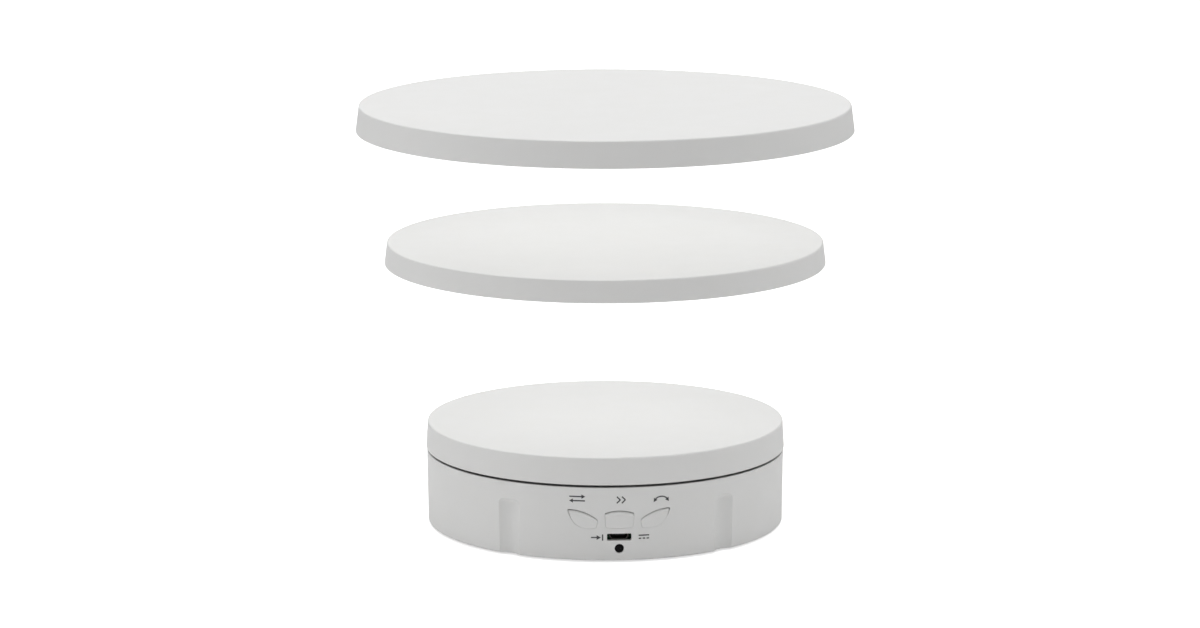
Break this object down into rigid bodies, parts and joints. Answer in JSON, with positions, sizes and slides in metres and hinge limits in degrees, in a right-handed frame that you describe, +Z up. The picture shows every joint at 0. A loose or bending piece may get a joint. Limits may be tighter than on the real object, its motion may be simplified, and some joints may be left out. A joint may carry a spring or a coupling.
{
  "type": "turntable display stand",
  "caption": "Motorised turntable display stand: a low round base with a driven platter and larger lift-on display plates, shown raised above it.",
  "frame": {"origin": "on the turning axis, in the plane the rubber feet stand on", "axes": "+Z up along the turning axis, -Y towards the control panel, +X to the right of someone facing the panel"},
  "size_m": [0.2007, 0.2006, 0.1718],
  "materials": {
    "shell_white": "fine moulded satin, very slightly warm white",
    "button_white": "fine moulded satin",
    "hub_white": "as moulded, a little glossier than the shell",
    "gear_acetal": "natural acetal, waxy satin",
    "cage_nylon": "dark nylon",
    "steel_ground": "ground steel",
    "steel_polished": "polished bearing steel",
    "steel_plated": "bright zinc plate",
    "steel_spring": "dark spring steel",
    "nickel_sheet": "nickel-plated sheet",
    "bronze_sintered": "oil-filled sintered bronze",
    "brass_turned": "turned brass",
    "gear_plate_grey": "grey glass-filled plastic",
    "copper_wound": "enamelled copper wire",
    "bobbin_plastic": "cream plastic",
    "ferrite": "dark ferrite",
    "rubber_grey": "soft grey rubber",
    "silicone_pad": "translucent white silicone",
    "board_green": "solder-masked glass-fibre board",
    "black_plastic": "black moulded plastic",
    "plunger_white": "plain nylon",
    "led_clear": "water-clear epoxy",
    "lens_smoked": "smoked, nearly black",
    "capacitor_sleeve": "dark sleeve",
    "connector_cream": "cream nylon",
    "wire_sleeve": "coloured wire sleeves",
    "cell_sleeve": "plain blue shrink sleeve over the cell"
  },
  "bodies": {
    "base": {"battery_cable": "wire_sleeve", "battery_cell": "cell_sleeve", "battery_contacts": "nickel_sheet", "battery_holder": "black_plastic", "battery_plug": "connector_cream", "bottom_cover": "shell_white", "cable_sockets": "connector_cream", "capacitors": "capacitor_sleeve", "charger_chip": "black_plastic", "control_board": "board_green", "controller_chip": "black_plastic", "cover_screws": "steel_plated", "gear_pins": "steel_ground", "gear_plate": "gear_plate_grey", "gear_plate_screws": "steel_plated", "housing": "shell_white", "indicator_lens": "lens_smoked", "lower_race": "steel_ground", "motor_bobbins": "bobbin_plastic", "motor_bushes": "bronze_sintered", "motor_cable": "wire_sleeve", "motor_case": "steel_plated", "motor_driver_chip": "black_plastic", "motor_flange": "steel_plated", "motor_plug": "connector_cream", "motor_screws": "steel_plated", "motor_terminal": "bobbin_plastic", "motor_windings": "copper_wound", "rubber_feet": "rubber_grey", "spindle": "steel_ground", "spindle_clip": "steel_spring", "status_led": "led_clear", "tact_switches": "black_plastic", "usb_contact_tongue": "black_plastic", "usb_receptacle": "nickel_sheet"},
    "drive_hub": {"drive_hub": "hub_white", "hub_bush": "bronze_sintered", "drive_gear": "gear_acetal", "gear_screws": "steel_plated", "upper_race": "steel_ground"},
    "platter": {"platter": "shell_white"},
    "medium_plate": {"medium_plate": "shell_white", "medium_plate_pads": "silicone_pad"},
    "large_plate": {"large_plate": "shell_white", "large_plate_pads": "silicone_pad"},
    "ball_cage": {"ball_cage": "cage_nylon", "bearing_balls": "steel_polished"},
    "second_gear": {"second_gear": "gear_acetal"},
    "first_gear": {"first_gear": "gear_acetal"},
    "motor_rotor": {"motor_pinion": "brass_turned", "motor_shaft": "steel_ground", "motor_magnet": "ferrite"},
    "direction_button": {"direction_button": "button_white", "direction_switch_plunger": "plunger_white"},
    "speed_button": {"speed_button": "button_white", "speed_switch_plunger": "plunger_white"},
    "angle_button": {"angle_button": "button_white", "angle_switch_plunger": "plunger_white"}
  },
  "joints": [
    {"name": "platter_spin", "type": "hinge", "parent": "base", "child": "drive_hub", "pos_m": [0, 0, 0.033], "axis": [0, 0, 1], "continuous": true},
    {"name": "cage_spin", "type": "hinge", "parent": "base", "child": "ball_cage", "pos_m": [0, 0, 0.0333], "axis": [0, 0, 1], "continuous": true},
    {"name": "second_gear_spin", "type": "hinge", "parent": "base", "child": "second_gear", "pos_m": [-0.0344, 0, 0.024], "axis": [0, 0, 1], "continuous": true},
    {"name": "first_gear_spin", "type": "hinge", "parent": "base", "child": "first_gear", "pos_m": [-0.0269, -0.01299, 0.022], "axis": [0, 0, 1], "continuous": true},
    {"name": "motor_spin", "type": "hinge", "parent": "base", "child": "motor_rotor", "pos_m": [-0.0194, -0.02598, 0.02], "axis": [0, 0, 1], "continuous": true},
    {"name": "platter_lift", "type": "slide", "parent": "drive_hub", "child": "platter", "axis": [0, 0, 1], "range_m": [0, 0.02]},
    {"name": "medium_plate_lower", "type": "slide", "parent": "platter", "child": "medium_plate", "axis": [0, 0, -1], "range_m": [0, 0.07075]},
    {"name": "large_plate_lower", "type": "slide", "parent": "medium_plate", "child": "large_plate", "axis": [0, 0, -1], "range_m": [0, 0.0493]},
    {"name": "direction_button_press", "type": "slide", "parent": "base", "child": "direction_button", "axis": [0, 1, 0], "range_m": [0, 0.0005]},
    {"name": "speed_button_press", "type": "slide", "parent": "base", "child": "speed_button", "axis": [0, 1, 0], "range_m": [0, 0.0005]},
    {"name": "angle_button_press", "type": "slide", "parent": "base", "child": "angle_button", "axis": [0, 1, 0], "range_m": [0, 0.0005]}
  ],
  "couplings": [
    {"joint": "cage_spin", "follows": "platter_spin", "ratio": 0.5},
    {"joint": "second_gear_spin", "follows": "platter_spin", "ratio": -5.1429},
    {"joint": "first_gear_spin", "follows": "platter_spin", "ratio": 20.571},
    {"joint": "motor_spin", "follows": "platter_spin", "ratio": -82.286}
  ]
}
